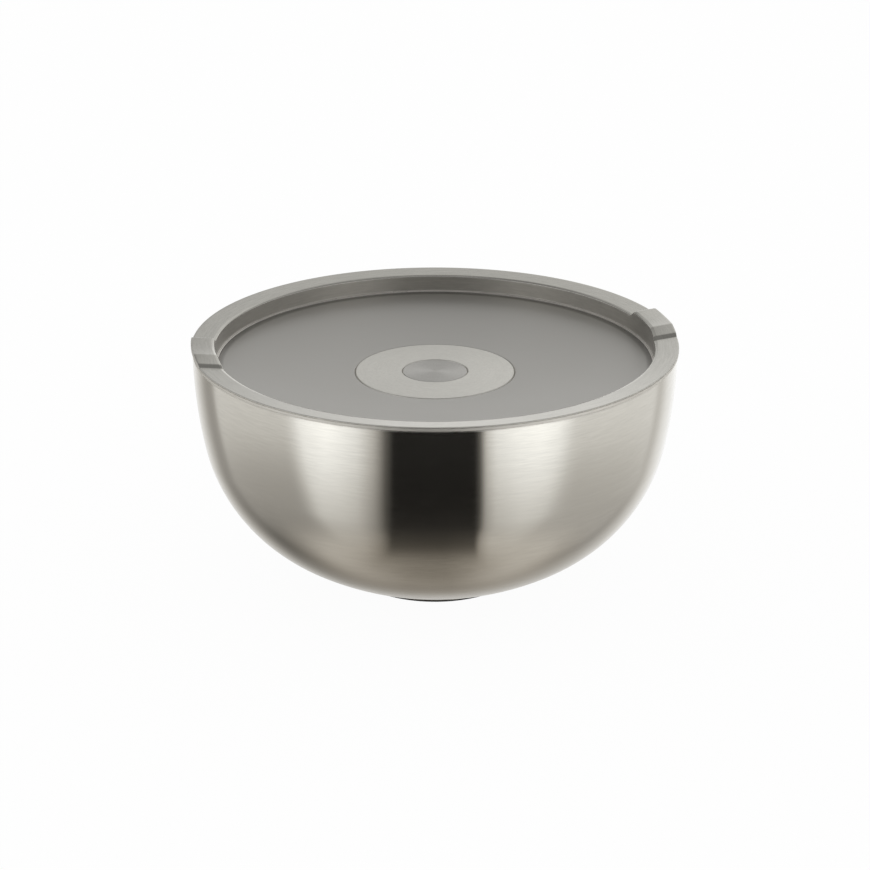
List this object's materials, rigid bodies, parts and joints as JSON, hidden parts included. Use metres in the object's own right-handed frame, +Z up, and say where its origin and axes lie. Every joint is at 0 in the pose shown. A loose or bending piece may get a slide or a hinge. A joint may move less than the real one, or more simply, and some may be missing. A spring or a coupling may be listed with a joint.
{
  "type": "insulated bowl with lid",
  "caption": "Double-walled brushed steel serving bowl with a recessed satin metal lid that lifts off by two raised finger tabs and has a sprung push vent in a steel ring.",
  "frame": {"origin": "middle of the foot pad's underside, on the surface that the bowl stands on", "axes": "+Z up along the bowl's axis; the lid's two finger tabs lie on +X and -X"},
  "size_m": [0.2536, 0.254, 0.1327],
  "materials": {
    "brushed_shell": "satin",
    "satin_steel": "satin",
    "seal_braze": "matte",
    "getter_steel": "matte",
    "pad_silicone": "matte",
    "lid_grey": "satin",
    "liner_grey": "satin",
    "foam": "matte",
    "gasket_silicone": "matte",
    "trim_steel": "satin",
    "guide_plastic": "satin",
    "spring_steel": "polished",
    "button_grey": "satin",
    "stem_steel": "satin"
  },
  "bodies": {
    "bowl": {"outer_shell": "brushed_shell", "inner_bowl": "satin_steel", "vacuum_plug": "seal_braze", "getter": "getter_steel", "base_cap": "satin_steel", "foot_pad": "pad_silicone"},
    "lid": {"lid_cover": "lid_grey", "lid_liner": "liner_grey", "lid_insulation": "foam", "lid_gasket": "gasket_silicone", "trim_ring": "trim_steel", "vent_guide": "guide_plastic", "guide_seal": "gasket_silicone", "guide_nut": "guide_plastic", "vent_spring": "spring_steel"},
    "vent": {"vent_button": "button_grey", "vent_stem": "stem_steel", "vent_seal": "gasket_silicone", "stem_washer": "stem_steel", "stem_clip": "stem_steel"}
  },
  "joints": [
    {"name": "lid_lift", "type": "slide", "parent": "bowl", "child": "lid", "axis": [0, 0, 1], "range_m": [0, 0.15]},
    {"name": "vent_press", "type": "slide", "parent": "lid", "child": "vent", "axis": [0, 0, -1], "range_m": [0, 0.0025], "stiffness_N_per_m": 600, "springref_m": -0.002, "deforming": ["vent_spring"]}
  ]
}
